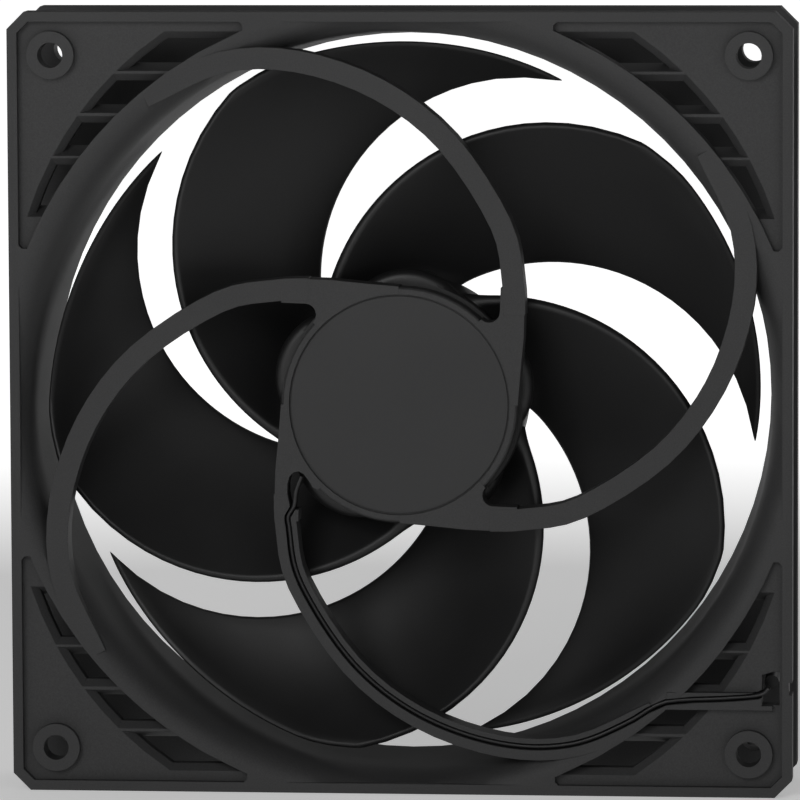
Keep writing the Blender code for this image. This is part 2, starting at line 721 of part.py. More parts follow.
def make_motor_lead(parts, cutters):
    """The lead that the frame holds: on edge in the channel, and flat where it enters the base."""
    half = LEAD_THICK / 2
    lead = flat_shape("motor_lead", [band(channel_points(), half, half)], *LEAD, parts, "lead_jacket")
    tail = block("lead_tail", (15.8, BASE_FLOOR + 0.25, -1.7), (22.3, BASE_FLOOR + 1.25, 1.7), cutters)
    spin_y(tail, 216.2)
    boolean(lead, tail, "UNION")


def lead_route():
    """The free lead's middle line: through the corner, down behind the fan and to the coil."""
    points = [
        (66.15, -7.2, -49.9),
        (66.2, -4.0, -49.3),
        (66.3, 0.0, -48.6),
        (66.4, 5.0, -48.1),
        (66.4, 10.0, -48.0),
        (66.2, 14.0, -48.6),
        (65.8, 17.2, -50.6),
        (65.0, 19.8, -54.2),
        (63.8, 21.6, -58.6),
        (62.3, 23.0, -63.0),
        (60.6, 24.9, -67.0),
    ]
    return [Vector(p) for p in points]


def make_free_lead(parts):
    line = smooth_line(lead_route(), 2)
    curve = bpy.data.curves.new("free_lead", "CURVE")
    curve.dimensions = "3D"
    curve.bevel_depth = CORD_D / 2 * MM
    curve.bevel_resolution = 2
    curve.use_fill_caps = True
    spline = curve.splines.new("POLY")
    spline.points.add(len(line) - 1)
    for target, point in zip(spline.points, line):
        target.co = (*(point * MM), 1)
    return add(bpy.data.objects.new("free_lead", curve), parts, "lead_jacket")


def upright_turn(obj, centre, base):
    """Stands a turned object on the floor, with its axis along Z."""
    obj.matrix_world = Matrix.Translation((centre[0] * MM, centre[1] * MM, base * MM))
    return obj


def make_lead_coil(parts):
    """The outer shape of the coiled rest of the lead, which lies behind the fan."""
    outer = COIL_MEAN_R + CORD_D
    inner = COIL_MEAN_R - CORD_D
    high = 2 * CORD_D + 0.1
    profile = [(outer, high), (outer, 0), (inner, 0), (inner, high)]
    coil = turned("lead_coil", profile, parts, "lead_jacket", steps=48)
    return upright_turn(coil, COIL_CENTRE, FLOOR + 0.02)


def make_connector(parts, cutters):
    """The four-way connector, lying across the coil, with its contacts open at the far end."""
    length, width, height = HOUSING
    start_x = COIL_CENTRE[0] - length / 2
    middle_y = COIL_CENTRE[1] - COIL_MEAN_R + 2.3
    base = FLOOR + 2 * CORD_D + 0.12 + GAP
    middle_z = base + height / 2
    low = (start_x, middle_y - width / 2, base)
    high = (start_x + length, middle_y + width / 2, base + height)
    housing = block("connector_housing", low, high, parts, "connector_plastic")
    slots = new_collection("contact_slots", cutters)
    for number in range(4):
        y = middle_y + (number - 1.5) * CONTACT_PITCH
        low = (start_x + 2, y - 0.85, middle_z - 0.95)
        high = (start_x + length + 1, y + 0.85, middle_z + 0.95)
        block(f"contact_slot_{number}", low, high, slots)
        low = (start_x + 2.3, y - 0.55, middle_z - 0.65)
        high = (start_x + length - 0.6, y + 0.55, middle_z + 0.65)
        block(f"contact_{number + 1}", low, high, parts, "brass")
    boolean(housing, slots, "DIFFERENCE")


# ---------------------------------------------------------------- assembly


def main():
    clear_scene()
    root = bpy.context.scene.collection
    parts = new_collection("case_fan", root)
    cutters = new_collection("cutters", root, hidden=True)

    frame, cuts = make_frame(parts, cutters)
    cut_frame_details(frame, cuts, cutters)
    label = (REAR + 0.1 + LABEL_RECESS - 0.05 - LABEL_THICK, REAR + 0.1 + LABEL_RECESS - 0.05)
    disc("motor_label", LABEL_R, *label, parts, "label_film", 60)
    make_bearing(parts)
    make_stator(parts, cutters)
    for number in range(POLES):
        make_coil(parts, number)
    make_board(parts, cutters)
    make_motor_lead(parts, cutters)
    make_free_lead(parts)
    make_lead_coil(parts)
    make_connector(parts, cutters)

    axis = bpy.data.objects.new("impeller_axis", None)
    parts.objects.link(axis)
    for piece in (make_impeller(parts, cutters), *make_rotor_pieces(parts)):
        piece.parent = axis


main()
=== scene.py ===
"""The looks of a 140 mm case fan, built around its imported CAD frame.

The frame stands on its bottom edge with the rotor's axis along Y, the struts at -Y and the intake
at +Y. Sizes are in millimetres, and MM turns them into metres.
"""

import json
import math

import bmesh
import bpy
from mathutils import Matrix, Vector


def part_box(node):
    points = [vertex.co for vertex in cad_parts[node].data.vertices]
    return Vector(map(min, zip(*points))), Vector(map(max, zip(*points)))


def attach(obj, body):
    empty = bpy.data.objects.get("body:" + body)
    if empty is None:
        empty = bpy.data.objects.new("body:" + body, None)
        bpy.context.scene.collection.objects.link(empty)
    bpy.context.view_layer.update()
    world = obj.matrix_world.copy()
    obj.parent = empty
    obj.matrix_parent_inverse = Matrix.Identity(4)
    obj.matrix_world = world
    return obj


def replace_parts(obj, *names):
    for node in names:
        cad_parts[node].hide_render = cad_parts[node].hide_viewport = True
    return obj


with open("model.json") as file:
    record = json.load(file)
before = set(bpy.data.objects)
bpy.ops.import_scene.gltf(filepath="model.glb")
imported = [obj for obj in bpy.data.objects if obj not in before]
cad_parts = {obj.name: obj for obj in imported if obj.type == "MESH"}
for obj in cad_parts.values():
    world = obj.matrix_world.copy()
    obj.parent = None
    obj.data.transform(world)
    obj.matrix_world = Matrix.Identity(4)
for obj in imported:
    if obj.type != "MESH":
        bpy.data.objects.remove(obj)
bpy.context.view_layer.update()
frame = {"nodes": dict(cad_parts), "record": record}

MM = 0.001
NODES = frame["nodes"]
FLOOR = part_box("frame")[0].z / MM

# Camera: where it stands, how it is turned and its lens
CAMERA_AT = (127.6, -1291.0, 133.3)
CAMERA_YAW = 5.692
CAMERA_TILT = 84.117
CAMERA_ROLL = -0.254
CAMERA_LENS = 326.43

# Free lead: its route from the corner to the coil, the coil, and the rise to the connector
CORD_D = 2.6
LEAD_ROUTE = (
    (66.15, -7.2, -49.9),
    (66.2, -4.0, -49.3),
    (66.3, 0.0, -48.6),
    (66.4, 5.0, -48.1),
    (66.4, 10.0, -48.0),
    (66.2, 14.0, -48.6),
    (65.8, 17.2, -50.6),
    (65.0, 19.8, -54.2),
    (63.8, 21.6, -58.6),
    (62.3, 23.0, -63.0),
    (60.6, 24.9, -67.0),
    (59.3, 27.4, -68.4),
)
COIL_CENTRE = (44.0, 30.1)
COIL_OUTER = 14.3
COIL_INNER = COIL_OUTER - CORD_D
COIL_LOW = FLOOR + 0.2 + CORD_D / 2
# Turn angle, radius and layer: out, in, up a layer, and out again
COIL_KEYS = (
    (0, 0, 0),
    (300, 0, 0),
    (360, 1, 0),
    (610, 1, 0),
    (660, 1, 1),
    (920, 1, 1),
    (980, 0, 1),
    (1272, 0, 1),
)
RISE = ((31.6, 21.6, -64.7), (33.6, 20.1, -63.0), (35.9, 19.5, -61.8))
TIE_AT = 75
TIE_ROOM = 0.05
TIE_THICK = 0.15
TIE_CORNER = 0.9
TIE_HALF_WIDTH = 1.5

# Connector: room round the contacts, the windows above them, the guide ribs and softened edges
SLOT_ROOM = 0.3
CUT_PAST = 1
WINDOW_X = (3.2, 6.0)
WINDOW_ROOM = 0.05
WINDOW_DEPTH = 0.9
RIB_HALF_WIDTH = 0.55
RIB_HIGH = 0.9
SHELL_ROUND = 0.18

# Impeller
BLADES = 5
HUB_R = 21.9
HUB_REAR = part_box("impeller")[0].y / MM
HUB_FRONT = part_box("impeller")[1].y / MM
HUB_WALL = 1.5
HUB_CAP = 1.6
HUB_STEPS = 180
SHOULDER_IN = 2.4
SHOULDER_R = 2.2
RIM_CHAMFER = 0.3
CAP_STEP = 0.35
CAP_STEP_R = (15.6, 16.0)
HOLLOW_PAST = 3
LEADING_ARC = (20.17, 20.57, 36.65)
TRAILING_ARC = (-0.7, 27.63, 40.6)
LEADING_TIP_R = 62.8
TRAILING_TIP_R = 64.4
TIP_CURVE = 0.7
CORNER_START = 0.88
CORNER_DROP = 1.2
LEADING_Y = 10.8
TRAILING_Y = -5.6
BLADE_CAMBER = 1.6
ROOT_DEPTH = 0.8
ROOT_THICK = 2.2
TIP_THICK = 1.2
FILLET = 1.1
FILLET_REACH = 3.0
# Rows from root to tip and stations along each, closer together at the edges
BLADE_ROWS = 30
ROW_CROWDING = 1.35
TIP_ROWS = (1 - 0.012, 1 - 0.004, 1.0)
TIP_START = 0.98
TIP_LEAST = 0.25
BLADE_STATIONS = 26
EDGE_STATIONS = (0.0, 0.12, 0.35, 0.7, 1.1)
IMPELLER_SMOOTH = 38
LOBE_R = 12.1
LOBE_AT = (11.65, 85.9)
LOBE_DEPTH = 3.2
LOBE_ROUND = 1.5
LOBE_STEPS = 120

# Lead in the channel strut: the strut's middle line as distance from the axis and angle
STRUT_LINE = (
    (26.2, 38.0),
    (30.0, 47.2),
    (37.1, 60.5),
    (47.6, 79.3),
    (56.3, 93.4),
    (63.8, 106.4),
    (68.7, 117.5),
    (71.2, 129.6),
)
CHANNEL_TURN = 180
CHANNEL_SHIFT = 0.45
CHANNEL_START = ((-17.7, -13.0), (-18.7, -15.6), (-19.1, -18.4))
CHANNEL_RUN = ((47.5, -53.0), (57.3, -52.3), (64.0, -51.7), (65.8, -50.5))
CHANNEL_FROM_R = 28.5
CHANNEL_TO_X = 43.0
WIRES = 4
WIRE_D = 0.8

# Plastics: colour, roughness, grain per metre, its depth and the softened edge in millimetres,
# and how much the brightness varies with the grain and with the flow marks
PLASTICS = {
    "frame_plastic": ((0.030, 0.030, 0.0305), 0.62, 3600, 0.02, 0.2, 0.22, 0.06),
    "blade_plastic": ((0.0088, 0.0088, 0.009), 0.46, 4200, 0.012, 0.15, 0.25, 0.06),
    "label_film": ((0.0215, 0.0215, 0.022), 0.55, 2600, 0.003, 0.05, 0.05, 0.05),
    "lead_jacket": ((0.014, 0.014, 0.0145), 0.42, 5200, 0.006, 0.0, 0.15, 0.06),
    "connector_plastic": ((0.016, 0.016, 0.0165), 0.4, 3000, 0.006, 0.1, 0.15, 0.06),
    "insulator_plastic": ((0.68, 0.66, 0.58), 0.45, 2400, 0.006, 0.1, 0.04, 0.06),
    "ferrite": ((0.05, 0.05, 0.053), 0.58, 5200, 0.02, 0.1, 0.3, 0.06),
    "chip": ((0.022, 0.022, 0.024), 0.45, 6000, 0.01, 0.08, 0.2, 0.06),
    "tie_plastic": ((0.02, 0.02, 0.021), 0.38, 2500, 0.004, 0.0, 0.1, 0.06),
}

# Stage, in metres: the floor, its glow with the reach it rises over, and the lights with their
# place, size and power
FLOOR_R = 8
FLOOR_BELOW_MM = 0.05
FLOOR_GREY = 0.82
FLOOR_GLOW = (0.35, 1.0)
GLOW_REACH = (0.32, 0.6)
LIGHTS = (
    ("key", (-0.35, -1.25, 0.5), 0.7, 5.8),
    ("fill", (0.75, -1.1, 0.25), 0.6, 1.0),
    ("top", (0.1, 0.2, 1.2), 0.8, 0.8),
    ("back", (0.5, 1.2, 0.7), 0.8, 1.0),
)
WORLD_Y = (-0.3, 0.9)
WORLD_LIGHT = (0.05, 0.12)


# ---------------------------------------------------------------- helpers


def polar(radius, degrees):
    angle = math.radians(degrees)
    return Vector((radius * math.cos(angle), radius * math.sin(angle)))


def smooth_line(points, per_span):
    """A Catmull-Rom curve through the points."""
    ends = [2 * points[0] - points[1], *points, 2 * points[-1] - points[-2]]
    found = []
    for i in range(len(points) - 1):
        a, b, c, d = ends[i : i + 4]
        for step in range(per_span):
            t = step / per_span
            bend = (2 * a - 5 * b + 4 * c - d) * t * t + (3 * b - a - 3 * c + d) * t**3
            found.append(0.5 * (2 * b + (c - a) * t + bend))
    return [*found, points[-1]]


def mesh_object(name, shape, material, smooth=None):
    """An object from a bmesh, shaded smooth below the given angle."""
    mesh = bpy.data.meshes.new(name)
    shape.to_mesh(mesh)
    shape.free()
    obj = bpy.data.objects.new(name, mesh)
    bpy.context.scene.collection.objects.link(obj)
    if material:
        mesh.materials.append(material)
    if smooth:
        mesh.shade_smooth()
        mesh.set_sharp_from_angle(angle=math.radians(smooth))
    return obj


def apply_modifiers(obj):
    graph = bpy.context.evaluated_depsgraph_get()
    mesh = bpy.data.meshes.new_from_object(obj.evaluated_get(graph))
    obj.modifiers.clear()
    obj.data = mesh


def join_solids(obj, others, operation="UNION"):
    for other in others:
        change = obj.modifiers.new("join", "BOOLEAN")
        change.operation = operation
        change.object = other
    apply_modifiers(obj)
    for other in others:
        bpy.data.objects.remove(other)


def round_edges(obj, width, angle=35):
    """Bevels the object's sharp edges and applies the result."""
    bevel = obj.modifiers.new("bevel", "BEVEL")
    bevel.width = width * MM
    bevel.segments = 2
    bevel.limit_method = "ANGLE"
    bevel.angle_limit = math.radians(angle)
    apply_modifiers(obj)
    obj.data.shade_smooth()
    obj.data.set_sharp_from_angle(angle=math.radians(angle))


def bridge(shape, rings, closed):
    """Faces between each ring of corners and the next."""
    following = rings[1:] + rings[:1] if closed else rings[1:]
    for low, high in zip(rings, following):
        for i in range(len(low)):
            j = (i + 1) % len(low)
            shape.faces.new((low[i], low[j], high[j], high[i]))


def direction(line, i):
    """Which way a line of points runs at one of them."""
    return (line[min(i + 1, len(line) - 1)] - line[max(i - 1, 0)]).normalized()


def turned(name, profile, steps):
    """A closed profile of (radius, y) points turned about the Y axis."""
    shape = bmesh.new()
    rings = []
    for step in range(steps):
        angle = 2 * math.pi * step / steps
        points = [(r * math.cos(angle), y, r * math.sin(angle)) for r, y in profile]
        rings.append([shape.verts.new(Vector(p) * MM) for p in points])
    bridge(shape, rings, closed=True)
    bmesh.ops.remove_doubles(shape, verts=shape.verts, dist=1e-7)
    bmesh.ops.dissolve_degenerate(shape, edges=shape.edges, dist=1e-7)
    bmesh.ops.recalc_face_normals(shape, faces=shape.faces)
    return mesh_object(name, shape, None)


def arc(centre, radius, start, end, steps):
    angles = [start + (end - start) * i / steps for i in range(steps + 1)]
    return [Vector(centre) + polar(radius, a) for a in angles]


def tube(name, lines, diameter, material, sides=16):
    """Round tubes along lines of points, closed at both ends, in one mesh."""
    shape = bmesh.new()
    for line in lines:
        rings = []
        across = None
        for i, point in enumerate(line):
            along = direction(line, i)
            across = across or along.orthogonal()
            across = across - along * across.dot(along)
            across.normalize()
            up = along.cross(across)
            rings.append([])
            for side in range(sides):
                spoke = polar(diameter / 2, 360 * side / sides)
                rings[-1].append(shape.verts.new((point + across * spoke.x + up * spoke.y) * MM))
        bridge(shape, rings, closed=False)
        shape.faces.new(rings[0][::-1])
        shape.faces.new(rings[-1])
    bmesh.ops.recalc_face_normals(shape, faces=shape.faces)
    return mesh_object(name, shape, material, 50)


def box_shape(low, high):
    shape = bmesh.new()
    bmesh.ops.create_cube(shape, size=1)
    bmesh.ops.scale(shape, vec=[(b - a) * MM for a, b in zip(low, high)], verts=shape.verts)
    bmesh.ops.translate(shape, vec=[(a + b) / 2 * MM for a, b in zip(low, high)], verts=shape.verts)
    return shape


# ---------------------------------------------------------------- materials


class Shader:
    """A material under construction: its nodes, links and Principled shader."""

    def __init__(self, name, roughness, metallic=0.0):
        self.material = bpy.data.materials.new(name)
        self.material.use_nodes = True
        self.tree = self.material.node_tree
        self.out = self.tree.nodes["Principled BSDF"]
        self.out.inputs["Roughness"].default_value = roughness
        self.out.inputs["Metallic"].default_value = metallic
        self.out.inputs["IOR"].default_value = 1.45
        self.place = self.node("ShaderNodeTexCoord").outputs["Object"]

    def node(self, kind, inputs=(), **settings):
        made = self.tree.nodes.new(kind)
        for key, value in settings.items():
            setattr(made, key, value)
        for key, value in dict(inputs).items():
            if isinstance(value, bpy.types.NodeSocket):
                self.tree.links.new(value, made.inputs[key])
            else:
                made.inputs[key].default_value = value
        return made

    def noise(self, per_metre, detail=2.0, roughness=0.5):
        values = {"Vector": self.place, "Scale": per_metre}
        values.update({"Detail": detail, "Roughness": roughness})
        return self.node("ShaderNodeTexNoise", values).outputs["Fac"]

    def ranged(self, value, low, high, start=0.3, end=0.7):
        values = {"Value": value, "From Min": start, "From Max": end, "To Min": low, "To Max": high}
        return self.node("ShaderNodeMapRange", values).outputs["Result"]

    def shade(self, factor, dark, light):
        """A colour between two, by a value from 0 to 1."""
        values = {"Factor": factor, "A": (*dark, 1), "B": (*light, 1)}
        mix = self.node("ShaderNodeMix", data_type="RGBA")
        for socket in mix.inputs:
            if socket.type == "RGBA" and socket.name in ("A", "B"):
                socket.default_value = values[socket.name]
        self.tree.links.new(factor, mix.inputs[0])
        return next(s for s in mix.outputs if s.type == "RGBA")

    def colour(self, socket):
        self.tree.links.new(socket, self.out.inputs["Base Color"])

    def roughness(self, socket):
        self.tree.links.new(socket, self.out.inputs["Roughness"])

    def bump(self, height, depth_mm, edge_mm=0.0):
        """Raises the surface by a height map, and rounds its edges for the light."""
        values = {"Height": height, "Distance": depth_mm * MM, "Strength": 1.0}
        bump = self.node("ShaderNodeBump", values)
        if edge_mm:
            bevel = self.node("ShaderNodeBevel", {"Radius": edge_mm * MM}, samples=4)
            self.tree.links.new(bevel.outputs["Normal"], bump.inputs["Normal"])
        self.tree.links.new(bump.outputs["Normal"], self.out.inputs["Normal"])


def scaled(colour, share):
    return tuple(c * share for c in colour)


def moulded(name, colour, roughness, grain, depth, edge, spread, broad):
    """Moulded plastic: a fine eroded grain, faint flow marks and softened edges."""
    made = Shader(name, roughness)
    fine = made.noise(grain, 3.0, 0.65)
    flow = made.noise(55, 2.0)
    speckle = made.ranged(fine, 0.0, 1.0)
    grained = made.shade(speckle, scaled(colour, 1 - spread), scaled(colour, 1 + spread))
    flowing = made.shade(made.ranged(flow, 0.0, 1.0), (1 - broad,) * 3, (1 + broad,) * 3)
    mix = made.node("ShaderNodeMix", data_type="RGBA", blend_type="MULTIPLY")
    mix.inputs[0].default_value = 1.0
    colours = [s for s in mix.inputs if s.type == "RGBA"]
    made.tree.links.new(grained, colours[0])
    made.tree.links.new(flowing, colours[1])
    made.colour(next(s for s in mix.outputs if s.type == "RGBA"))
    made.roughness(made.ranged(flow, roughness - 0.04, roughness + 0.04))
    made.bump(fine, depth, edge)
    return made.material


def metal(name, colour, roughness):
    """Metal with a fine grain that runs across Y, as turning leaves it."""
    made = Shader(name, roughness, metallic=1.0)
    stretched = {"Vector": made.place, "Scale": (400, 4000, 400)}
    made.place = made.node("ShaderNodeMapping", stretched).outputs["Vector"]
    grain = made.noise(1.0, 3.0)
    dark, light = scaled(colour, 0.88), scaled(colour, 1.08)
    made.colour(made.shade(made.ranged(grain, 0.0, 1.0), dark, light))
    made.roughness(made.ranged(grain, roughness - 0.06, roughness + 0.1))
    made.bump(grain, 0.004)
    return made.material


def banded(name, colour, groove_shade, roughness, period_mm, rings=False):
    """Stacked sheets along Y, or wire laid in turns outwards from the Y axis; painted shade in the
    grooves.
    """
    made = Shader(name, roughness, metallic=1.0)
    values = {"Vector": made.place, "Scale": 2 * math.pi / (20 * period_mm * MM), "Distortion": 0.0}
    kind = {"wave_type": "RINGS", "rings_direction": "Y"} if rings else {"bands_direction": "Y"}
    wave = made.node("ShaderNodeTexWave", values, **kind).outputs["Fac"]
    # Painted shade: the colour darkens in the grooves between sheets and between turns, which the
    # bump shapes
    made.colour(made.shade(made.ranged(wave, 0.0, 1.0, 0.0, 0.35), groove_shade, colour))
    made.roughness(made.ranged(made.noise(900), roughness - 0.05, roughness + 0.08))
    made.bump(wave, period_mm * 0.3)
    return made.material


def solder_mask(name, colour):
    """A circuit board's lacquer over faint copper tracks."""
    made = Shader(name, 0.35)
    values = {"Vector": made.place, "Scale": 320.0, "Distortion": 6.0, "Detail": 1.0}
    tracks = made.node("ShaderNodeTexWave", values, bands_direction="Z").outputs["Fac"]
    raised = made.ranged(tracks, 0.0, 1.0, 0.45, 0.55)
    made.colour(made.shade(raised, colour, scaled(colour, 1.7)))
    made.roughness(made.ranged(made.noise(700), 0.3, 0.42))
    made.bump(raised, 0.03)
    return made.material


def sintered_bronze():
    """Sintered bronze: pressed grains with dark pores."""
    made = Shader("bronze", 0.45, metallic=1.0)
    grain = made.noise(6500, 2.0)
    made.colour(made.shade(made.ranged(grain, 0.0, 1.0), (0.2, 0.12, 0.06), (0.5, 0.34, 0.19)))
    made.roughness(made.ranged(grain, 0.6, 0.36))
    made.bump(grain, 0.01)
    return made.material


def make_materials():
    made = {name: moulded(name, *finish) for name, finish in PLASTICS.items()}
    made["steel"] = metal("steel", (0.56, 0.56, 0.57), 0.28)
    made["brass"] = metal("brass", (0.74, 0.55, 0.27), 0.26)
    made["bronze"] = sintered_bronze()
    # The second colour of each pair is painted shade for the grooves between sheets and between
    # wire turns
    sheet, gap_shade = (0.36, 0.36, 0.38), (0.05, 0.05, 0.055)
    made["electrical_steel"] = banded("electrical_steel", sheet, gap_shade, 0.4, 0.5)
    wire, gap_shade = (0.72, 0.3, 0.13), (0.16, 0.05, 0.02)
    made["copper"] = banded("copper", wire, gap_shade, 0.32, 0.3, rings=True)
    made["board"] = solder_mask("board", (0.015, 0.11, 0.045))
    return made


# ---------------------------------------------------------------- camera and lead


def make_camera():
    data = bpy.data.cameras.new("camera")
    data.lens = CAMERA_LENS
    data.sensor_width = 36.0
    camera = bpy.data.objects.new("camera", data)
    bpy.context.scene.collection.objects.link(camera)
    turn = Matrix.Rotation(math.radians(CAMERA_YAW), 4, "Z")
    turn = turn @ Matrix.Rotation(math.radians(CAMERA_TILT), 4, "X")
    turn = turn @ Matrix.Rotation(math.radians(CAMERA_ROLL), 4, "Z")
    camera.matrix_world = Matrix.Translation(Vector(CAMERA_AT) * MM) @ turn
    data.clip_start = 0.05
    data.clip_end = 60
    bpy.context.scene.camera = camera


def coil_point(degrees):
    """The lead's middle in the coil, after that much turning."""
    for (a, ra, la), (b, rb, lb) in zip(COIL_KEYS, COIL_KEYS[1:]):
        if degrees <= b:
            t = (degrees - a) / (b - a)
            t = t * t * (3 - 2 * t)
            inwards = ra + (rb - ra) * t
            layer = la + (lb - la) * t
            break
    radius = COIL_OUTER + (COIL_INNER - COIL_OUTER) * inwards
    flat = Vector(COIL_CENTRE) + polar(radius, degrees)
    return Vector((flat.x, flat.y, COIL_LOW + CORD_D * layer))


def lead_line():
    """The free lead's middle line: the route, the coil's turns and the rise to the connector."""
    last = COIL_KEYS[-1][0]
    turns = [coil_point(a) for a in range(0, last, 12)] + [coil_point(last)]
    route = smooth_line([Vector(p) for p in LEAD_ROUTE] + turns[:1], 2)[:-1]
    end_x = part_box("connector_housing")[0].x / MM - 0.3
    end = Vector((end_x, RISE[-1][1] - 0.05, RISE[-1][2] + 0.3))
    rise = smooth_line([turns[-2], turns[-1], *[Vector(p) for p in RISE], end], 2)[3:]
    return route + turns + rise


def make_lead(materials):
    line = lead_line()
    lead = tube("lead_cord", [line], CORD_D, materials["lead_jacket"])
    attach(lead, "frame")
    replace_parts(lead, "free_lead", "lead_coil")
    tie = make_tie(materials)
    housing = make_connector(materials)


def make_tie(materials):
    """A flat strap round the coil's turns."""
    middle = polar(COIL_OUTER - CORD_D / 2, TIE_AT)
    centre = Vector(COIL_CENTRE) + middle
    out = middle.normalized()
    high = COIL_LOW + CORD_D / 2
    half = CORD_D + TIE_ROOM

    def outline(grow):
        points = []
        for sx, sz, start in ((1, 1, 0), (-1, 1, 90), (-1, -1, 180), (1, -1, 270)):
            inner = half - TIE_CORNER
            points += arc((sx * inner, sz * inner), TIE_CORNER + grow, start, start + 90, 5)
        return points

    shape = bmesh.new()
    rings = []
    along = Vector((-out.y, out.x))
    wide = TIE_HALF_WIDTH
    for grow, side in ((0.0, -wide), (TIE_THICK, -wide), (TIE_THICK, wide), (0.0, wide)):
        ring = []
        for x, z in outline(grow):
            flat = centre + out * x + along * side
            ring.append(shape.verts.new(Vector((flat.x, flat.y, high + z)) * MM))
        rings.append(ring)
    bridge(shape, rings, closed=True)
    bmesh.ops.recalc_face_normals(shape, faces=shape.faces)
    tie = mesh_object("coil_tie", shape, materials["tie_plastic"], 40)
    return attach(tie, "frame")


def make_connector(materials):
    """The four-way housing: guide ribs on top and contact slots in front."""
    low, high = (Vector(p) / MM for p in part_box("connector_housing"))
    contacts = [[Vector(p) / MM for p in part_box(f"contact_{n}")] for n in range(1, 5)]
    housing = mesh_object("connector_shell", box_shape(low, high), materials["connector_plastic"])
    slots = []
    for near, far in contacts:
        slot_low = (near.x - SLOT_ROOM, near.y - SLOT_ROOM, near.z - SLOT_ROOM)
        slot_high = (high.x + CUT_PAST, far.y + SLOT_ROOM, far.z + SLOT_ROOM)
        slots.append(mesh_object("slot", box_shape(slot_low, slot_high), None))
        window_low = (low.x + WINDOW_X[0], near.y - WINDOW_ROOM, high.z - WINDOW_DEPTH)
        window_high = (low.x + WINDOW_X[1], far.y + WINDOW_ROOM, high.z + CUT_PAST)
        slots.append(mesh_object("window", box_shape(window_low, window_high), None))
    join_solids(housing, slots, "DIFFERENCE")
    ribs = []
    for y in (contacts[0][0].y + 0.5, contacts[2][0].y + 0.5):
        rib_low = (low.x + 0.4, y - RIB_HALF_WIDTH, high.z - 0.3)
        rib_high = (high.x - 0.2, y + RIB_HALF_WIDTH, high.z + RIB_HIGH)
        ribs.append(mesh_object("rib", box_shape(rib_low, rib_high), None))
    join_solids(housing, ribs)
    round_edges(housing, SHELL_ROUND)
    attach(housing, "frame")
    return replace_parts(housing, "connector_housing")


# ---------------------------------------------------------------- impeller


def edge_angle(edge, radius):
    """Where an edge's arc, drawn in the plane of rotation, is that far from the axis."""
    centre = Vector(edge[:2])
    distance = centre.length
    cosine = (radius**2 + distance**2 - edge[2] ** 2) / (2 * radius * distance)
    return math.degrees(math.atan2(centre.y, centre.x) + math.acos(max(-1, min(1, cosine))))


def blade_point(along, across):
    """A point of the blade's middle surface.

    Both values run from 0 to 1: along from the leading to the trailing edge, and across from
    root to tip.
    """
    tip = LEADING_TIP_R + (TRAILING_TIP_R - LEADING_TIP_R) * along**TIP_CURVE
    tip -= CORNER_DROP * max(0, (along - CORNER_START) / (1 - CORNER_START)) ** 2
    root = HUB_R - ROOT_DEPTH
    radius = root + (tip - root) * across
    start = edge_angle(LEADING_ARC, radius)
    end = edge_angle(TRAILING_ARC, radius)
    flat = polar(radius, start + (end - start) * along)
    y = LEADING_Y + (TRAILING_Y - LEADING_Y) * along + BLADE_CAMBER * math.sin(math.pi * along)
    return Vector((flat.x, y, flat.y))


def blade_normal(along, across):
    step = 0.002
    ahead, behind = min(along + step, 1), max(along - step, 0)
    above, below = min(across + step, 1), max(across - step, 0)
    chord = blade_point(ahead, across) - blade_point(behind, across)
    span = blade_point(along, above) - blade_point(along, below)
    return chord.cross(span).normalized()


def round_nose(distance, half):
    """How thick a rounded edge is, as a share, that far in from its end."""
    depth = max(0.0, half - distance)
    return math.sqrt(max(0.0, half * half - depth * depth)) / half


def blade_shape():
    """Both faces of one blade, thicker at its root and round along its edges."""
    rows = [(i / BLADE_ROWS) ** ROW_CROWDING for i in range(BLADE_ROWS)]
    shape = bmesh.new()
    grid = []
    for across in [*rows, *TIP_ROWS]:
        reach = (LEADING_TIP_R - HUB_R) * across
        thick = ROOT_THICK + (TIP_THICK - ROOT_THICK) * across
        half = thick / 2 + FILLET * max(0.0, 1 - reach / FILLET_REACH) ** 2
        chord = (blade_point(1, across) - blade_point(0, across)).length
        ends = [d / chord for d in EDGE_STATIONS]
        count = BLADE_STATIONS
        inner = [ends[-1] + (1 - 2 * ends[-1]) * i / count for i in range(1, count)]
        stations = ends + inner + [1 - e for e in reversed(ends)]
        tip = 1.0
        if across > TIP_START:
            tip = round_nose((1 - across) * (LEADING_TIP_R - HUB_R), half)
        line = []
        for along in stations:
            near_edge = min(along, 1 - along) * chord
            size = half * round_nose(near_edge, half) * max(tip, TIP_LEAST)
            here, normal = blade_point(along, across), blade_normal(along, across)
            line.append([shape.verts.new((here + normal * size * side) * MM) for side in (-1, 1)])
        grid.append(line)
    count = len(grid[0])
    for row in range(len(grid) - 1):
        for column in range(count - 1):
            a, b = grid[row][column], grid[row][column + 1]
            d, c = grid[row + 1][column], grid[row + 1][column + 1]
            shape.faces.new((a[0], b[0], c[0], d[0]))
            shape.faces.new((d[1], c[1], b[1], a[1]))
    for row, flip in ((0, 1), (len(grid) - 1, -1)):
        for column in range(count - 1):
            a, b = grid[row][column], grid[row][column + 1]
            shape.faces.new((a[0], a[1], b[1], b[0])[::flip])
    bmesh.ops.remove_doubles(shape, verts=shape.verts, dist=1e-6)
    bmesh.ops.dissolve_degenerate(shape, edges=shape.edges, dist=1e-7)
    bmesh.ops.recalc_face_normals(shape, faces=shape.faces)
    return shape


def spun(shape, degrees):
    turn = Matrix.Rotation(math.radians(-degrees), 4, "Y")
    bmesh.ops.transform(shape, matrix=turn, verts=shape.verts)
    return shape


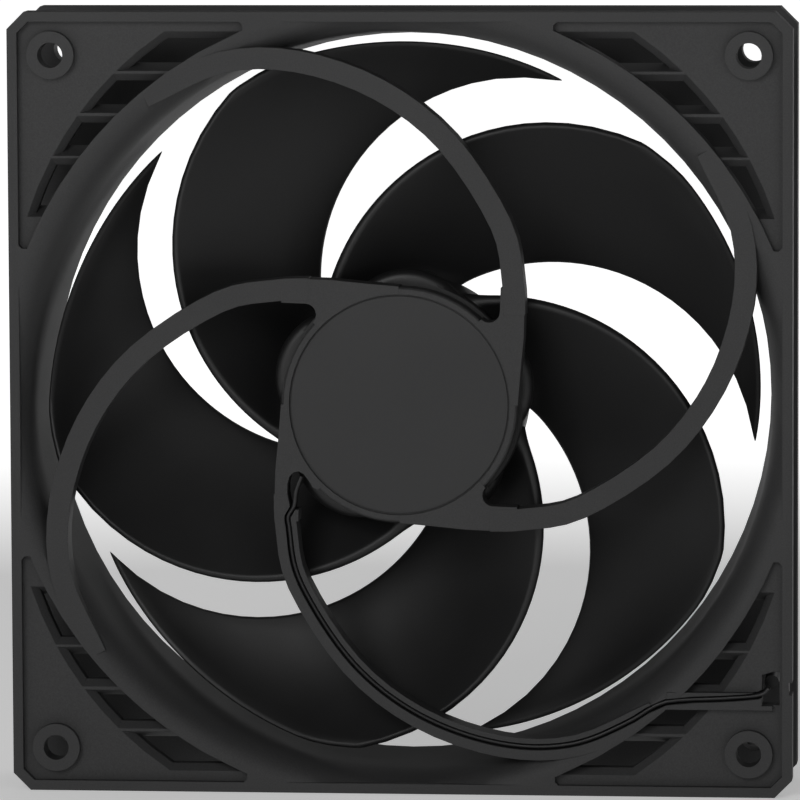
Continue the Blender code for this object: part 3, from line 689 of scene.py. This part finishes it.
def hub_profile():
    """The hub cup's section: rim, round shoulder, a shallow step on the cap and the hollow."""
    inside = HUB_R - HUB_WALL
    shoulder = arc((HUB_R - SHOULDER_IN, HUB_FRONT - SHOULDER_R), SHOULDER_R, 90, 0, 8)
    sunk = HUB_FRONT - CAP_STEP
    cap = [(0, sunk), (CAP_STEP_R[0], sunk), (CAP_STEP_R[1], HUB_FRONT)]
    rim = [(HUB_R, HUB_REAR + RIM_CHAMFER), (HUB_R - RIM_CHAMFER, HUB_REAR), (inside, HUB_REAR)]
    hollow = [(inside, HUB_FRONT - HUB_CAP), (0, HUB_FRONT - HUB_CAP)]
    return [*cap, *[tuple(p) for p in shoulder], *rim, *hollow]


def make_lobe(number):
    """The round bulge of the hub's rim where a blade grows out of it."""
    edge = arc((LOBE_R - LOBE_ROUND, HUB_REAR + LOBE_ROUND), LOBE_ROUND, 0, -90, 5)
    top = HUB_REAR + LOBE_DEPTH
    lobe = turned(f"lobe_{number}", [(0, top), (LOBE_R, top), *edge, (0, HUB_REAR)], LOBE_STEPS)
    middle = polar(LOBE_AT[0], LOBE_AT[1] + number * 360 / BLADES)
    lobe.data.transform(Matrix.Translation((middle.x * MM, 0, middle.y * MM)))
    return lobe


def make_impeller(materials):
    impeller = turned("impeller_moulding", hub_profile(), HUB_STEPS)
    blades = []
    for number in range(BLADES):
        shape = spun(blade_shape(), number * 360 / BLADES)
        blades.append(mesh_object(f"blade_{number}", shape, None))
        blades.append(make_lobe(number))
    join_solids(impeller, blades)
    inside = HUB_R - HUB_WALL
    rear, front = HUB_REAR - HOLLOW_PAST, HUB_FRONT - HUB_CAP
    core = [(0, rear), (inside, rear), (inside, front), (0, front)]
    join_solids(impeller, [turned("hollow", core, HUB_STEPS)], "DIFFERENCE")
    impeller.data.materials.clear()
    impeller.data.materials.append(materials["blade_plastic"])
    impeller.data.shade_smooth()
    impeller.data.set_sharp_from_angle(angle=math.radians(IMPELLER_SMOOTH))
    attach(impeller, "impeller")
    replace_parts(impeller, "impeller")


# ---------------------------------------------------------------- frame and its pieces


def welded_copy(name, node, material, smooth):
    """A piece with a CAD node's own shape, its faces joined so that curves shade smoothly."""
    shape = bmesh.new()
    shape.from_mesh(NODES[node].data)
    bmesh.ops.remove_doubles(shape, verts=shape.verts, dist=1e-6)
    piece = mesh_object(name, shape, None)
    for stored in ("custom_normal", "sharp_face", "sharp_edge"):
        if stored in piece.data.attributes:
            piece.data.attributes.remove(piece.data.attributes[stored])
    piece.data.shade_smooth()
    piece.data.set_sharp_from_angle(angle=math.radians(smooth))
    piece.data.materials.clear()
    piece.data.materials.append(material)
    return piece


def make_frame(materials):
    shell = welded_copy("frame_moulding", "frame", materials["frame_plastic"], 32)
    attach(shell, "frame")
    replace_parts(shell, "frame")


def channel_line():
    """The middle line of the lead's channel, from the motor base to the corner."""
    line = smooth_line([polar(r, a + CHANNEL_TURN) for r, a in STRUT_LINE], 4)
    inner = []
    for i, point in enumerate(line):
        along = direction(line, i)
        inner.append(point + Vector((-along.y, along.x)) * CHANNEL_SHIFT)
    start = [Vector(p) for p in CHANNEL_START]
    run = [Vector(p) for p in CHANNEL_RUN]
    kept = [p for p in inner if p.length > CHANNEL_FROM_R and p.x < CHANNEL_TO_X]
    return smooth_line(start + kept + run, 4)


def make_motor_lead(materials):
    """Four wires, one behind another, in the strut's channel."""
    low, high = (p.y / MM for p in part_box("motor_lead"))
    pitch = (high - low) / WIRES
    flat = channel_line()
    lines = []
    for wire in range(WIRES):
        y = low + pitch * (wire + 0.5)
        lines.append([Vector((p.x, y, p.y)) for p in flat])
    wires = tube("motor_lead_wires", lines, WIRE_D, materials["lead_jacket"], 12)
    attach(wires, "frame")
    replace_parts(wires, "motor_lead")


def dress_nodes(materials):
    """Gives every CAD node that still shows its own finish."""
    slots = {row["node"]: row["material_slot"] for row in frame["record"]["subparts"]}
    for name, node in NODES.items():
        node.data.materials.clear()
        node.data.materials.append(materials[slots[name]])


# ---------------------------------------------------------------- stage


def make_stage():
    """A pale floor that fades to white, and soft lights."""
    shape = bmesh.new()
    bmesh.ops.create_circle(shape, cap_ends=True, segments=96, radius=FLOOR_R)
    bmesh.ops.translate(shape, vec=(0, 0, (FLOOR - FLOOR_BELOW_MM) * MM), verts=shape.verts)
    made = Shader("floor", 0.9)
    made.out.inputs["Base Color"].default_value = (FLOOR_GREY, FLOOR_GREY, FLOOR_GREY, 1)
    made.out.inputs["Specular IOR Level"].default_value = 0.1
    reach = made.node("ShaderNodeVectorMath", {0: made.place}, operation="LENGTH").outputs["Value"]
    made.out.inputs["Emission Color"].default_value = (1, 1, 1, 1)
    glow = made.ranged(reach, *FLOOR_GLOW, *GLOW_REACH)
    made.tree.links.new(glow, made.out.inputs["Emission Strength"])
    floor = mesh_object("floor", shape, made.material)
    for name, at, size, power in LIGHTS:
        data = bpy.data.lights.new(name, "AREA")
        data.size = size
        data.energy = power
        light = bpy.data.objects.new(name, data)
        bpy.context.scene.collection.objects.link(light)
        light.location = at
        light.rotation_euler = (-Vector(at)).to_track_quat("-Z", "Y").to_euler()


def make_world():
    """White behind everything, dimmer where it lights the fan, and brighter towards +Y."""
    world = bpy.data.worlds.new("surround")
    bpy.context.scene.world = world
    world.use_nodes = True
    tree = world.node_tree
    background = tree.nodes["Background"]
    background.inputs["Color"].default_value = (1, 1, 1, 1)
    place = tree.nodes.new("ShaderNodeTexCoord")
    split = tree.nodes.new("ShaderNodeSeparateXYZ")
    ranged = tree.nodes.new("ShaderNodeMapRange")
    ray = tree.nodes.new("ShaderNodeLightPath")
    mix = tree.nodes.new("ShaderNodeMix")
    ends = (*WORLD_Y, *WORLD_LIGHT)
    for socket, value in zip(("From Min", "From Max", "To Min", "To Max"), ends):
        ranged.inputs[socket].default_value = value
    mix.inputs["B"].default_value = 1.0
    tree.links.new(place.outputs["Generated"], split.inputs[0])
    tree.links.new(split.outputs["Y"], ranged.inputs["Value"])
    tree.links.new(ranged.outputs["Result"], mix.inputs["A"])
    tree.links.new(ray.outputs["Is Camera Ray"], mix.inputs["Factor"])
    tree.links.new(mix.outputs["Result"], background.inputs["Strength"])


make_camera()
materials = make_materials()
make_lead(materials)
make_frame(materials)
make_motor_lead(materials)
make_impeller(materials)
dress_nodes(materials)
make_stage()
make_world()
bpy.context.scene.view_settings.view_transform = "Standard"
